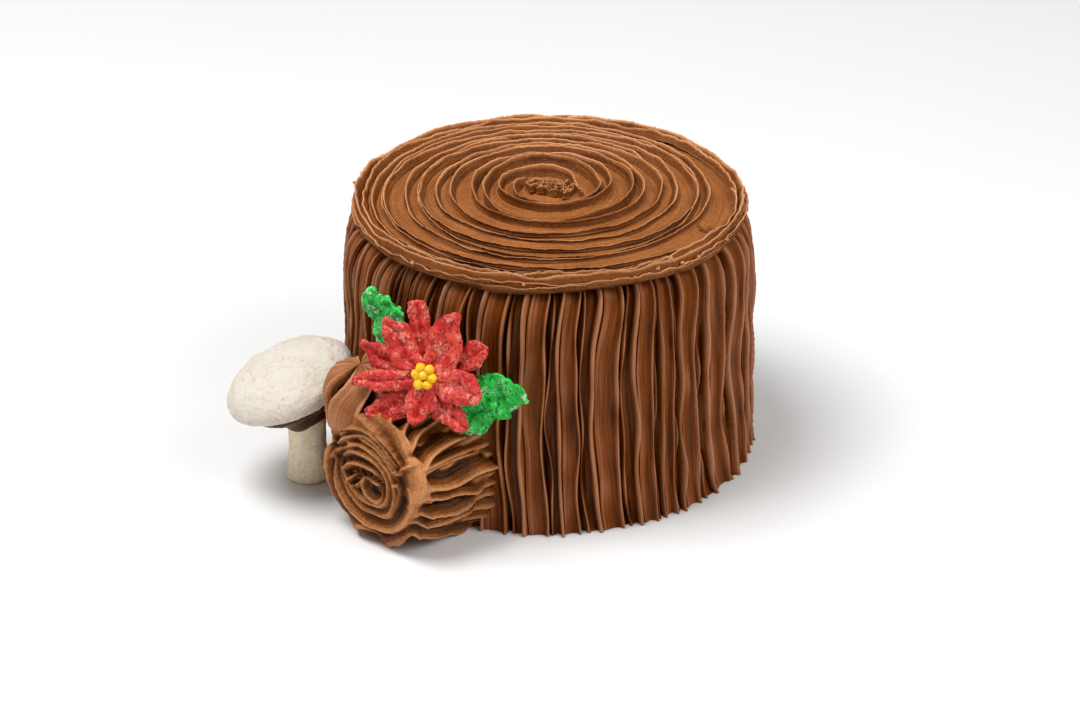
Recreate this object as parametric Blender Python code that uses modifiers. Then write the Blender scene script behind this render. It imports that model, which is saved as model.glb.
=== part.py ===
"""Yule log cake: an upright round cake, piped all over in chocolate frosting as a sawn tree stump, with
a short sawn branch lying against its foot. A piped poinsettia with two leaves sits on the branch, and a
meringue mushroom stands beside it.

Metres, +Z up. The origin is the centre of the stump's base, on the surface that it stands on. The branch
points towards -X and -Y, and the mushroom stands at -X.
"""

import math

import bmesh
import bpy
from mathutils import Matrix, Vector

MM = 0.001
TURN = 2 * math.pi
GAP = 0.3 * MM  # between pieces that touch

# Stump: piped strands run up the side and bend in over the shoulder
STRANDS = 36
STUMP_PROFILE = [  # (height, radius over the strands' crests)
    (0, 78.3 * MM),
    (5 * MM, 77.0 * MM),
    (25 * MM, 76.0 * MM),
    (50 * MM, 75.5 * MM),
    (69 * MM, 75.4 * MM),
    (79 * MM, 74.6 * MM),
    (87 * MM, 73.2 * MM),
    (92 * MM, 70.8 * MM),
    (94.5 * MM, 67.5 * MM),
]
STRAND_ANGLES = [-3.1, 0, 3.1, 5.0]  # across one strand, in degrees: crest, hollow, crest, valley
STRAND_DEPTHS = [0, 0.008, 0, 0.055]  # how far each of them is sunk, as a share of the radius

# Top: one ribbon wound outwards in a spiral
HEIGHT = 100 * MM  # at the rim
TOP_RADIUS = 70.7 * MM
TOP_PITCH = 12 * MM
TOP_CROWN = 4 * MM  # how much higher the top is at its centre
RIBBON_DEPTHS = [2.4 * MM, 0, 1.2 * MM, 0.4 * MM, 2.4 * MM]  # at even steps across the ribbon

# Branch: a short log lying on its side, its sawn end facing out
BRANCH_RADIUS = 25.8 * MM
BRANCH_END = Vector((-64.4, -83.8, 25.4)) * MM  # centre of the sawn end
BRANCH_AIM = math.radians(43)  # from -Y towards -X
BRANCH_LENGTH = 46 * MM  # runs into the stump, where it is cut off
BRANCH_STRANDS = 18
BRANCH_ANGLES = [-6, 1, 10]
BRANCH_DEPTHS = [0, 0.02, 0.12]
BRANCH_FLARE = 0.12  # how much wider its right side is at the stump, as a share of the radius
BRANCH_FOOT = 0.42  # and its lower right edge, which spreads on the surface
FOOT_ANGLE = math.radians(43)  # from straight down towards the right
FOOT_SPREAD = math.radians(24)
ROSETTE_RADIUS = 24.6 * MM
ROSETTE_PITCH = 7.5 * MM
ROSETTE_THICK = 5 * MM
ROSETTE_CROWN = 2 * MM
ROSETTE_DEPTHS = [1.8 * MM, 0, 0.9 * MM, 1.8 * MM]

# Curl: a ribbed dollop on the branch's upper left, between the stump and the mushroom
CURL_CENTRE = Vector((-65.6, -61.6, 32)) * MM  # centre of its underside
CURL_PROFILE = [
    (0, 8 * MM),
    (5 * MM, 12.8 * MM),
    (13 * MM, 14.8 * MM),
    (21 * MM, 13.4 * MM),
    (26.5 * MM, 9 * MM),
    (29.5 * MM, 3 * MM),
]
CURL_STRANDS = 9
CURL_ANGLES = [-13, 0, 13, 20]
CURL_DEPTHS = [0, 0.03, 0, 0.14]

# Mushroom: a domed cap leaning to the left of an upright stem, with chocolate under it
STEM_FOOT = Vector((-88.2, -33, 0)) * MM
STEM_RADIUS = 7.5 * MM
STEM_FLARE = 0.7 * MM
STEM_HEIGHT = 28 * MM
CAP_LEAN = math.radians(21)
CAP_TURN = math.radians(9)  # direction of the lean, from -X towards -Y
CAP_UNDERSIDE = Vector((-91.8, -35, 34.4)) * MM
CAP_RADIUS = 24.4 * MM
CAP_HEIGHT = 16.5 * MM
CAP_WIDEST = 5.8 * MM
COAT_RADIUS = 21.4 * MM
COAT_THICK = 1.6 * MM
COLLAR_RADIUS = 10.6 * MM
COLLAR_DEPTH = 11.3 * MM

# Poinsettia: two layers of petals round a cluster of dots, facing out and a little up
FLOWER_CENTRE = Vector((-42.3, -76.0, 64.0)) * MM
FLOWER_TURN = math.radians(20)  # from -Y towards -X
FLOWER_TILT = math.radians(25)
PETAL_THICK = 1.3 * MM
PETAL_START = 2.2 * MM  # from the flower's axis
LAYER_RISE = 2.8 * MM
LOWER_PETALS = [  # (angle from the flower's right, length, half width)
    (98, 25.5 * MM, 4.6 * MM),
    (164, 24.0 * MM, 4.8 * MM),
    (217, 24.0 * MM, 5.2 * MM),
    (324, 24.0 * MM, 5.2 * MM),
    (32, 25.0 * MM, 5.2 * MM),
]
UPPER_PETALS = [
    (130, 23.5 * MM, 5.6 * MM),
    (65, 25.0 * MM, 6.0 * MM),
    (190, 24.0 * MM, 4.4 * MM),
    (270, 16.5 * MM, 5.4 * MM),
    (346, 22.0 * MM, 5.6 * MM),
]
STAMENS = 7
STAMEN_RADIUS = 1.5 * MM
STAMEN_RING = 3.1 * MM
STAMEN_RISE = 6.1 * MM

# Leaves: lobed, flat against the stump. Each row is a share of the length from the base to the tip,
# and the half width on the leaf's left and on its right there.
LEAF_THICK = 1.6 * MM
LEAVES = {
    "leaf_upper": {
        "base": Vector((-51.6, -63.8, 68)) * MM,
        "facing": math.radians(45),  # from -Y towards -X
        "aim": math.radians(135),  # from the leaf's right, seen from outside
        "length": 23 * MM,
        "outline": [
            (0, 4 * MM, 4 * MM),
            (0.13, 7.4 * MM, 7 * MM),
            (0.3, 9.4 * MM, 11.2 * MM),
            (0.5, 8.2 * MM, 7.2 * MM),
            (0.75, 7.2 * MM, 7.4 * MM),
            (0.88, 3.6 * MM, 3.8 * MM),
            (1, 0.4 * MM, 0.4 * MM),
        ],
    },
    "leaf_right": {
        "base": Vector((-30.8, -77.6, 54)) * MM,
        "facing": math.radians(14),
        "aim": math.radians(10),
        "length": 22.8 * MM,
        "outline": [
            (0, 5 * MM, 8 * MM),
            (0.15, 8 * MM, 11.4 * MM),
            (0.32, 9.6 * MM, 11 * MM),
            (0.5, 8.2 * MM, 6.6 * MM),
            (0.72, 8.6 * MM, 6.2 * MM),
            (0.86, 4.2 * MM, 3.4 * MM),
            (1, 0.4 * MM, 0.4 * MM),
        ],
    },
}

FINISHES = {  # colour, roughness
    "side_frosting": ((0.075, 0.028, 0.014), 0.38),
    "top_frosting": ((0.16, 0.07, 0.033), 0.5),
    "branch_frosting": ((0.13, 0.056, 0.028), 0.5),
    "meringue": ((0.78, 0.74, 0.66), 0.75),
    "dark_chocolate": ((0.02, 0.009, 0.005), 0.35),
    "red_icing": ((0.55, 0.04, 0.035), 0.55),
    "green_icing": ((0.02, 0.28, 0.05), 0.55),
    "yellow_icing": ((0.85, 0.55, 0.01), 0.4),
}

for leftover in list(bpy.data.objects):
    bpy.data.objects.remove(leftover)
CAKE = bpy.data.collections.new("yule_log_cake")
CUTTERS = bpy.data.collections.new("cutters")
for collection in (CAKE, CUTTERS):
    bpy.context.scene.collection.children.link(collection)


def finish_material(name):
    """The named finish as a material, made when it is first asked for."""
    if name in bpy.data.materials:
        return bpy.data.materials[name]
    made = bpy.data.materials.new(name)
    made.use_nodes = True
    shader = made.node_tree.nodes["Principled BSDF"]
    colour, roughness = FINISHES[name]
    shader.inputs["Base Color"].default_value = (*colour, 1)
    shader.inputs["Roughness"].default_value = roughness
    shader.inputs["Metallic"].default_value = 0
    return made


def add_object(name, shape, finish=None, place=Matrix(), sharp=60):
    """Makes a named object from a bmesh. With no finish, it becomes a hidden cutter."""
    mesh = bpy.data.meshes.new(name)
    shape.to_mesh(mesh)
    shape.free()
    mesh.shade_smooth()
    mesh.set_sharp_from_angle(angle=math.radians(sharp))
    made = bpy.data.objects.new(name, mesh)
    made.matrix_world = place
    if finish:
        mesh.materials.append(finish_material(finish))
        CAKE.objects.link(made)
    else:
        CUTTERS.objects.link(made)
        made.hide_render = True
        made.display_type = "WIRE"
    return made


def cut(piece, *spaces):
    """Takes each of the given solids away from the piece."""
    for space in spaces:
        difference = piece.modifiers.new(space.name, "BOOLEAN")
        difference.operation = "DIFFERENCE"
        difference.solver = "EXACT"
        difference.object = space


def turned(name, profile, finish=None, place=Matrix(), steps=32):
    """A turned solid: (radius, height) points that run from the top of its axis down to the bottom."""
    outline = bmesh.new()
    points = [outline.verts.new((radius, 0, height)) for radius, height in profile]
    for upper, lower in zip(points, points[1:]):
        outline.edges.new((upper, lower))
    made = add_object(name, outline, finish, place)
    screw = made.modifiers.new("turn", "SCREW")
    screw.axis = "Z"
    screw.steps = steps
    screw.render_steps = steps
    screw.use_merge_vertices = True
    screw.merge_threshold = 0.01 * MM
    screw.use_smooth_shade = True
    return made


def even(height, angle):
    """The swell of a column that is round all along."""
    return 1


def piped_column(profile, strands, angles, depths, sway=0.0, swell=even):
    """A closed column with piped strands along it, each with one point across it for each of the angles.

    profile holds (height, radius) pairs from bottom to top, the strands sway by that many degrees, and
    swell(height, angle) is what the radius is multiplied by there."""
    across = len(angles)
    segments = strands * across
    rows = len(profile) - 1
    column = bmesh.new()
    bmesh.ops.create_cone(column, cap_ends=True, segments=segments, radius1=1, radius2=1, depth=1)
    uprights = [edge for edge in column.edges if edge.verts[0].co.z * edge.verts[1].co.z < 0]
    bmesh.ops.subdivide_edges(column, edges=uprights, cuts=rows - 1)
    for vert in column.verts:
        height, radius = profile[round((vert.co.z + 0.5) * rows)]
        place = round(math.atan2(vert.co.x, -vert.co.y) / TURN * segments) % segments
        strand, step = divmod(place, across)
        lean = sway * math.sin(height / (14 * MM) + 2.4 * strand)
        angle = (strand + 0.5) / strands * TURN + math.radians(angles[step] + lean)
        radius *= (1 - depths[step]) * swell(height, angle)
        vert.co = (radius * math.sin(angle), -radius * math.cos(angle), height)
    return column


def spiral_disc(radius, pitch, segments, thickness, depths, crown=0.0):
    """A closed disc on z = 0. Its top is one piped ribbon, wound outwards counterclockwise.

    depths holds how far the ribbon's surface is sunk at even steps across it, and crown how much the
    disc rises towards its centre."""
    turns = math.ceil(radius / pitch) + 1
    steps = len(depths) - 1
    disc = bmesh.new()
    bmesh.ops.create_grid(disc, x_segments=turns * segments, y_segments=steps, size=0.5)
    for vert in disc.verts:
        column = round((vert.co.x + 0.5) * turns * segments)
        across = vert.co.y + 0.5
        angle = (column % segments) / segments * TURN
        from_centre = pitch * (column / segments - 1 + across)
        depth = depths[round(across * steps)]
        if from_centre <= 0 or from_centre >= radius:
            depth = 0
            from_centre = min(max(from_centre, 0), radius)
        height = thickness - depth - crown * (from_centre / radius) ** 2
        vert.co = (from_centre * math.cos(angle), from_centre * math.sin(angle), height)
    bmesh.ops.remove_doubles(disc, verts=disc.verts, dist=0.01 * MM)
    bmesh.ops.delete(disc, geom=[edge for edge in disc.edges if edge.is_wire], context="EDGES")
    rim = [edge for edge in disc.edges if edge.is_boundary]
    wall = bmesh.ops.extrude_edge_only(disc, edges=rim)["geom"]
    for part in wall:
        if isinstance(part, bmesh.types.BMVert):
            part.co.z = 0
    bmesh.ops.contextual_create(disc, geom=[edge for edge in disc.edges if edge.is_boundary])
    bmesh.ops.recalc_face_normals(disc, faces=disc.faces)
    return disc


def outward_frame(origin, facing, tilt=0.0):
    """The frame of something on the stump's side: +Z out of it, +X to its right and +Y up.

    facing is the angle of its outward direction from -Y towards -X, and tilt is how far it looks up."""
    stood_up = Matrix.Rotation(math.radians(90) - tilt, 4, "X")
    return Matrix.Translation(origin) @ Matrix.Rotation(-facing, 4, "Z") @ stood_up


def blade(length, width_at, rise_at, along=8, across=4):
    """An open sheet from the origin to +X, which Solidify then thickens. width_at(share, side) is its half
    width, and rise_at(share, side) its height over the plane, for a side from -1 to 1."""
    sheet = bmesh.new()
    bmesh.ops.create_grid(sheet, x_segments=along, y_segments=across, size=0.5)
    for vert in sheet.verts:
        share = vert.co.x + 0.5
        side = 2 * vert.co.y
        vert.co = (share * length, side * width_at(share, side), rise_at(share, side))
    return sheet


def add_blade(name, sheet, finish, place, thickness):
    """Thickens a blade upwards from its plane and turns it into an object."""
    made = add_object(name, sheet, finish, place)
    solidify = made.modifiers.new("thickness", "SOLIDIFY")
    solidify.thickness = thickness
    solidify.offset = 1
    return made


def make_stump():
    stump = piped_column(STUMP_PROFILE, STRANDS, STRAND_ANGLES, STRAND_DEPTHS, sway=0.25)
    add_object("stump", stump, "side_frosting", sharp=80)
    base = STUMP_PROFILE[-1][0] + GAP
    thickness = HEIGHT + TOP_CROWN - base
    top = spiral_disc(TOP_RADIUS, TOP_PITCH, 36, thickness, RIBBON_DEPTHS, TOP_CROWN)
    add_object("top_spiral", top, "top_frosting", Matrix.Translation((0, 0, base)), sharp=80)


def make_stump_space():
    """The stump's outer shape, a gap larger, for cutting what is piped against it."""
    crests = [(radius + GAP, height) for height, radius in reversed(STUMP_PROFILE)]
    ends = [(0, crests[0][1]), *crests, (crests[-1][0], -GAP), (0, -GAP)]
    return turned("stump_space", ends, steps=96)


def branch_profile():
    """(height, radius) pairs along the branch, from inside the stump to just behind the rosette."""
    return [
        (-BRANCH_LENGTH, 1.05 * BRANCH_RADIUS),
        (-0.72 * BRANCH_LENGTH, 1.04 * BRANCH_RADIUS),
        (-0.45 * BRANCH_LENGTH, 1.02 * BRANCH_RADIUS),
        (-0.25 * BRANCH_LENGTH, BRANCH_RADIUS),
        (-ROSETTE_THICK - GAP, ROSETTE_RADIUS),
    ]


def branch_swell(height, angle):
    """The branch widens to the right towards the stump, most of all where it spreads on the surface."""
    inward = min(-height / (0.78 * BRANCH_LENGTH), 1)
    foot = math.exp(-(((angle - FOOT_ANGLE) / FOOT_SPREAD) ** 2))
    return 1 + inward * (BRANCH_FLARE * max(math.sin(angle), 0) + BRANCH_FOOT * foot)


def make_branch(stump_space):
    frame = outward_frame(BRANCH_END, BRANCH_AIM)
    log = piped_column(
        branch_profile(), BRANCH_STRANDS, BRANCH_ANGLES, BRANCH_DEPTHS, sway=1.5, swell=branch_swell
    )
    bmesh.ops.transform(log, matrix=frame, verts=log.verts)
    for vert in log.verts:
        vert.co.z = max(vert.co.z, 0)
    cut(add_object("branch", log, "branch_frosting", sharp=80), stump_space)
    rosette = spiral_disc(ROSETTE_RADIUS, ROSETTE_PITCH, 24, ROSETTE_THICK, ROSETTE_DEPTHS, ROSETTE_CROWN)
    seat = frame @ Matrix.Translation((0, 0, -ROSETTE_THICK))
    add_object("branch_rosette", rosette, "branch_frosting", seat, sharp=80)
    crests = [(radius + GAP, height) for height, radius in reversed(branch_profile())]
    front = ROSETTE_THICK  # past the sawn end, so that the curl leaves its face clear
    ends = [(0, front), (ROSETTE_RADIUS + GAP, front), *crests, (0, crests[-1][1])]
    return turned("branch_space", ends, place=frame, steps=60)


def make_curl(stump_space, branch_space):
    curl = piped_column(CURL_PROFILE, CURL_STRANDS, CURL_ANGLES, CURL_DEPTHS, sway=3)
    place = Matrix.Translation(CURL_CENTRE)
    cut(add_object("curl", curl, "branch_frosting", place, sharp=80), stump_space, branch_space)


def make_mushroom():
    upright = Matrix.Translation(STEM_FOOT)
    stem = [
        (0, STEM_HEIGHT),
        (STEM_RADIUS - STEM_FLARE, STEM_HEIGHT),
        (STEM_RADIUS - 0.4 * STEM_FLARE, 0.5 * STEM_HEIGHT),
        (STEM_RADIUS + STEM_FLARE, 0.12 * STEM_HEIGHT),
        (STEM_RADIUS + 0.5 * STEM_FLARE, 0),
        (0, 0),
    ]
    turned("mushroom_stem", stem, "meringue", upright, steps=28)
    stem_space = turned(
        "stem_space",
        [
            (0, STEM_HEIGHT + GAP),
            (STEM_RADIUS + GAP, STEM_HEIGHT + GAP),
            (STEM_RADIUS + GAP, 0.3 * STEM_HEIGHT),
            (0, 0.3 * STEM_HEIGHT),
        ],
        place=upright,
        steps=28,
    )
    lean = Matrix.Rotation(CAP_TURN, 4, "Z") @ Matrix.Rotation(-CAP_LEAN, 4, "Y")
    leaning = Matrix.Translation(CAP_UNDERSIDE) @ lean
    dome = []
    for step in range(1, 9):
        angle = math.radians(90) * step / 8
        rise = (CAP_HEIGHT - CAP_WIDEST) * math.cos(angle)
        dome.append((CAP_RADIUS * math.sin(angle) ** 0.94, CAP_WIDEST + rise))
    lip = [(0.985 * CAP_RADIUS, 0.5 * CAP_WIDEST), (0.93 * CAP_RADIUS, 0.14 * CAP_WIDEST)]
    cap = [(0, CAP_HEIGHT), *dome, *lip, (0.87 * CAP_RADIUS, 0), (0, 0)]
    turned("mushroom_cap", cap, "meringue", leaning, steps=30)
    coat = [
        (0, -GAP),
        (COAT_RADIUS, -GAP),
        (COAT_RADIUS - 0.5 * COAT_THICK, -COAT_THICK),
        (1.4 * COLLAR_RADIUS, -0.35 * COLLAR_DEPTH),
        (1.08 * COLLAR_RADIUS, -0.7 * COLLAR_DEPTH),
        (COLLAR_RADIUS, -0.92 * COLLAR_DEPTH),
        (0.93 * COLLAR_RADIUS, -COLLAR_DEPTH),
        (0, -COLLAR_DEPTH),
    ]
    cut(turned("mushroom_coat", coat, "dark_chocolate", leaning, steps=32), stem_space)


def make_petal(name, frame, angle, length, half_width, base_rise):
    """A pointed petal, widest past its middle, with a crease along it. It lifts towards its tip."""
    wedge = math.tan(math.radians(26))  # keeps a petal within its own share of the circle

    def width_at(share, side):
        full = half_width * math.sin(math.pi * (0.12 + 0.86 * share) ** 1.5) ** 0.75
        return max(min(full, (PETAL_START + share * length) * wedge), 0.7 * MM)

    def rise_at(share, side):
        crease = 0.32 * abs(side) * width_at(share, side)
        return base_rise + crease + 1.2 * MM * share**2

    sheet = blade(length - PETAL_START, width_at, rise_at, along=7)
    out = Matrix.Rotation(math.radians(angle), 4, "Z") @ Matrix.Translation((PETAL_START, 0, 0))
    add_blade(name, sheet, "red_icing", frame @ out, PETAL_THICK)


def make_flower():
    frame = outward_frame(FLOWER_CENTRE, FLOWER_TURN, FLOWER_TILT)
    for layer, petals, rise in (("lower", LOWER_PETALS, 0), ("upper", UPPER_PETALS, LAYER_RISE)):
        for number, (angle, length, half_width) in enumerate(petals, 1):
            make_petal(f"petal_{layer}_{number}", frame, angle, length, half_width, rise)
    for number in range(STAMENS):
        dot = bmesh.new()
        bmesh.ops.create_icosphere(dot, subdivisions=2, radius=STAMEN_RADIUS)
        angle = TURN * number / (STAMENS - 1)
        ring = STAMEN_RING if number else 0
        place = Vector((ring * math.cos(angle), ring * math.sin(angle), STAMEN_RISE))
        add_object(f"stamen_{number + 1}", dot, "yellow_icing", frame @ Matrix.Translation(place))


def make_leaves():
    for name, leaf in LEAVES.items():
        outline = leaf["outline"]

        def width_at(share, side, outline=outline):
            for (start, *from_widths), (end, *to_widths) in zip(outline, outline[1:]):
                if share <= end:
                    break
            blend = (share - start) / (end - start)
            edge = 0 if side > 0 else 1
            return from_widths[edge] + (to_widths[edge] - from_widths[edge]) * blend

        def rise_at(share, side):
            return 1.2 * MM * abs(side)

        sheet = blade(leaf["length"], width_at, rise_at, along=12)
        frame = outward_frame(leaf["base"], leaf["facing"])
        place = frame @ Matrix.Rotation(leaf["aim"], 4, "Z")
        add_blade(name, sheet, "green_icing", place, LEAF_THICK)


make_stump()
stump_space = make_stump_space()
branch_space = make_branch(stump_space)
make_curl(stump_space, branch_space)
make_mushroom()
make_flower()
make_leaves()
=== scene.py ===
"""The looks of a yule log cake: piped chocolate frosting, a meringue mushroom and an icing poinsettia."""

import math

import bmesh
import bpy
import numpy as np
from mathutils import Matrix, Vector


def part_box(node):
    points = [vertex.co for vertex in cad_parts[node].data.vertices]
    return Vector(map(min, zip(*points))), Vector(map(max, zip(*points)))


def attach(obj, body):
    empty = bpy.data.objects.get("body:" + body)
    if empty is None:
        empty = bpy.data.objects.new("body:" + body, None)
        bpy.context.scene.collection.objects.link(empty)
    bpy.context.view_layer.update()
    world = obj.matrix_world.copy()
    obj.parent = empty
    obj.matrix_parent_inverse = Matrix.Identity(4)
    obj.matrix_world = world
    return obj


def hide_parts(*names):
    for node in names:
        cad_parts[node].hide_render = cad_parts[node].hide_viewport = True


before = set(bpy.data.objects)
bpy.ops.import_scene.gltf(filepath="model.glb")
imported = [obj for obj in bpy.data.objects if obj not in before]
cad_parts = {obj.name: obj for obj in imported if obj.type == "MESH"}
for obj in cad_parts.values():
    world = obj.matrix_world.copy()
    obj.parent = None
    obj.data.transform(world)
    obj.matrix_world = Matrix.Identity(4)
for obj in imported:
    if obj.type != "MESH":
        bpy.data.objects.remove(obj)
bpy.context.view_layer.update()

MM = 0.001
TURN = 2 * math.pi
DEGREE = math.pi / 180
UP = np.array([0, 0, 1.0])
WAVES = 5  # how many waves make up each random drift
SMOOTHING = 9  # how many neighbours on each side smooth a profile

# Camera, light and floor. Each light: name, place and size in metres, power in watts
CAMERA_ELEVATION = 27.7 * DEGREE
CAMERA_DISTANCE = 1120 * MM
CAMERA_TARGET = Vector((-3.3, 0, 30.6)) * MM
CAMERA_LENS = 100
SENSOR_WIDTH = 36
LIGHTS = [("key", (-0.5, -0.08, 1.24), 0.7, 17.0), ("fill", (0.9, -0.5, 0.9), 0.8, 9.0)]
WORLD_STRENGTH = 0.3
FLOOR_SIZE = 8

# Side: a skin of piped strands round the stump. Profile: share of the stump's height, share of its radius
SIDE_STRANDS = 36
SIDE_PROFILE = [
    (0, 0.99), (0.02, 0.988), (0.1, 0.98), (0.265, 0.971), (0.53, 0.965), (0.73, 0.965), (0.84, 0.958),
    (0.91, 0.944), (0.955, 0.92), (0.985, 0.886), (1.005, 0.85), (1.012, 0.8),
]
# Across one strand: degrees from its middle, millimetres over its crests, tone from painted shade in a valley
# to a painted highlight on an edge, group.
# The groups are 0 valleys, 1 the first rib, 2 the broad hollow after it, 3 the second rib, 4 a low ridge
STRAND = [
    (-5, -3.1, 0.34, 0), (-4.4, -3.4, 0.26, 0), (-3.8, -3.4, 0.14, 0), (-3.5, -2.4, 0.35, 1),
    (-3.4, -0.9, 0.75, 1), (-3.25, -0.1, 0.95, 1), (-2.95, 0.2, 1, 1), (-2.65, 0, 0.95, 1),
    (-2.4, -0.8, 0.7, 1), (-2.2, -1.8, 0.1, 2), (-1.95, -1.2, 0.66, 2), (-1.3, -1.5, 0.62, 2),
    (-0.4, -1.9, 0.5, 2), (0.6, -2.1, 0.42, 2), (1.4, -1.9, 0.34, 2), (2, -1.4, 0.3, 3),
    (2.3, -0.5, 0.62, 3), (2.55, 0, 0.9, 3), (2.8, -0.05, 0.9, 3), (2.95, -0.7, 0.55, 3),
    (3.05, -2.4, 0.16, 3), (3.35, -3.6, 0.06, 0), (3.7, -3.2, 0.16, 4), (3.85, -2, 0.5, 4),
    (4.05, -1.4, 0.78, 4), (4.35, -1.6, 0.7, 4), (4.6, -2.6, 0.35, 4), (4.8, -3.2, 0.24, 0),
]
# How the strands' widths vary round the stump: waves in a turn, degrees, start in degrees
WIDTHS = [(5, 2, 40), (9, 1.3, 200), (14, 0.7, 90)]
SIDE_SPACING = 1.2  # from one row of points to the next
# The strands swing aside at the foot, below one height, and at the head, from another
FOOT_SWAY_BELOW = 45
HEAD_SWAY_FROM = 72
HEAD_SWAY_OVER = 26
# For each group: how far it strays in degrees, swells and roughens in millimetres, and changes tone
GROUPS = np.array([
    (0.26, 0.3, 0, 0), (0.34, 0.28, 0.07, 0.1), (0.2, 0.15, 0, 0.06), (0.36, 0.3, 0.09, 0.12),
    (0.5, 0.5, 0.08, 0.2),
])
FLAT_NEAR_AXIS = 9  # within this distance of the axis strands flatten out

# Top: floor and fins of one ribbon wound outwards, counterclockwise
TOP_RIM = 100.0
TOP_SUNK = 3.4  # how far the floor's edge lies under the rim
TOP_START = 10.0  # where the ribbon starts, from the middle
TOP_PITCH = 11.85  # how far out it moves in a turn
TOP_TURNS = 5.4
TURN_STEP = 0.006
FIN_MIDDLE = np.array([-0.4, 0.5])
# Where the smaller fins merge into the rim, in turns
MERGE_FROM = 4.84
MERGE_OVER = 0.16
# Small holes in the floor, with painted shade in them: x, y, size
TOP_HOLES = [(55, -27, 1.1), (57.2, -24.8, 0.7), (53.4, -24.6, 0.5), (-60, 12, 0.6)]
HOLE_DEPTH = 2.6
# The tangle in its middle: start, end, loop radius, loops
TANGLE = [
    ((-7.5, 2), (4, 1.5), 2.6, 2.2), ((-2, 0.5), (10, -5), 2, 3.7), ((-6, -3), (8, -7), 1.3, 2.9),
    ((-1, -3), (6, 0), 1.2, 2.3),
]
# Crumbs along its edge: degrees, distance, size
CRUMBS = [
    (-58, 70.3, 1.4), (-52, 67.4, 1.7), (-50, 71.8, 1), (-66, 72.4, 0.8), (-44, 72.2, 1), (-30, 72.4, 0.9),
    (-97, 72.6, 0.8), (-131, 72.6, 0.9), (170, 72.4, 0.9), (160, 72.2, 1), (60, 72, 0.9),
]
# The lip's layers: distance past the edge, height of foot under the rim, height, lean
LIP_LAYERS = [(-1.2, -3.4, 3.2, 0.9), (-0.6, -4.9, 2.2, 1.8), (-1.5, -6.4, 2.4, 2.2), (-3.4, -2.8, 2.4, 0.4)]


def box_mm(node):
    """A CAD node's lowest and highest corners, in millimetres."""
    return [np.array(corner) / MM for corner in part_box(node)]


TOP_LOW, TOP_HIGH = box_mm("top_spiral")
TOP_RADIUS = (TOP_HIGH[0] - TOP_LOW[0]) / 2


def drift(seed, along, wavelength, lanes=None):
    """Smooth random waves over a distance: a value for each place or, with lanes, a row of them."""
    draws = np.random.default_rng(seed)
    shape = (WAVES, 1, lanes or 1)
    lengths = wavelength * draws.uniform(0.55, 1.8, shape)
    starts = draws.uniform(0, TURN, shape)
    total = np.sin(TURN * np.reshape(along, (1, -1, 1)) / lengths + starts).sum(0) / math.sqrt(WAVES)
    return total if lanes else total[:, 0]


def unit(vectors):
    return vectors / np.linalg.norm(vectors, axis=-1, keepdims=True)


def spaced(points, spacing):
    """The points of a line, laid out again at even distances, with the distance along it."""
    points = np.asarray(points, float)
    reach = np.concatenate([[0], np.linalg.norm(np.diff(points, axis=0), axis=1).cumsum()])
    along = np.linspace(0, reach[-1], max(int(reach[-1] / spacing), 4) + 1)
    return np.stack([np.interp(along, reach, column) for column in points.T], 1), along


def smooth_line(points, spacing):
    """A smooth line through a few points, at even distances."""
    points = np.asarray(points, float)
    ends = np.concatenate([[2 * points[0] - points[1]], points, [2 * points[-1] - points[-2]]])
    share = np.linspace(0, 1, 16, endpoint=False)[:, None]
    line = []
    for a, b, c, d in zip(ends, ends[1:], ends[2:], ends[3:]):
        bend = (2 * a - 5 * b + 4 * c - d) * share**2 + (3 * b - a - 3 * c + d) * share**3
        line.append(0.5 * (2 * b + (c - a) * share + bend))
    return spaced(np.concatenate([*line, points[-1:]]), spacing)


def added(name, data):
    """A new object in the scene."""
    made = bpy.data.objects.new(name, data)
    bpy.context.collection.objects.link(made)
    return made


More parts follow.
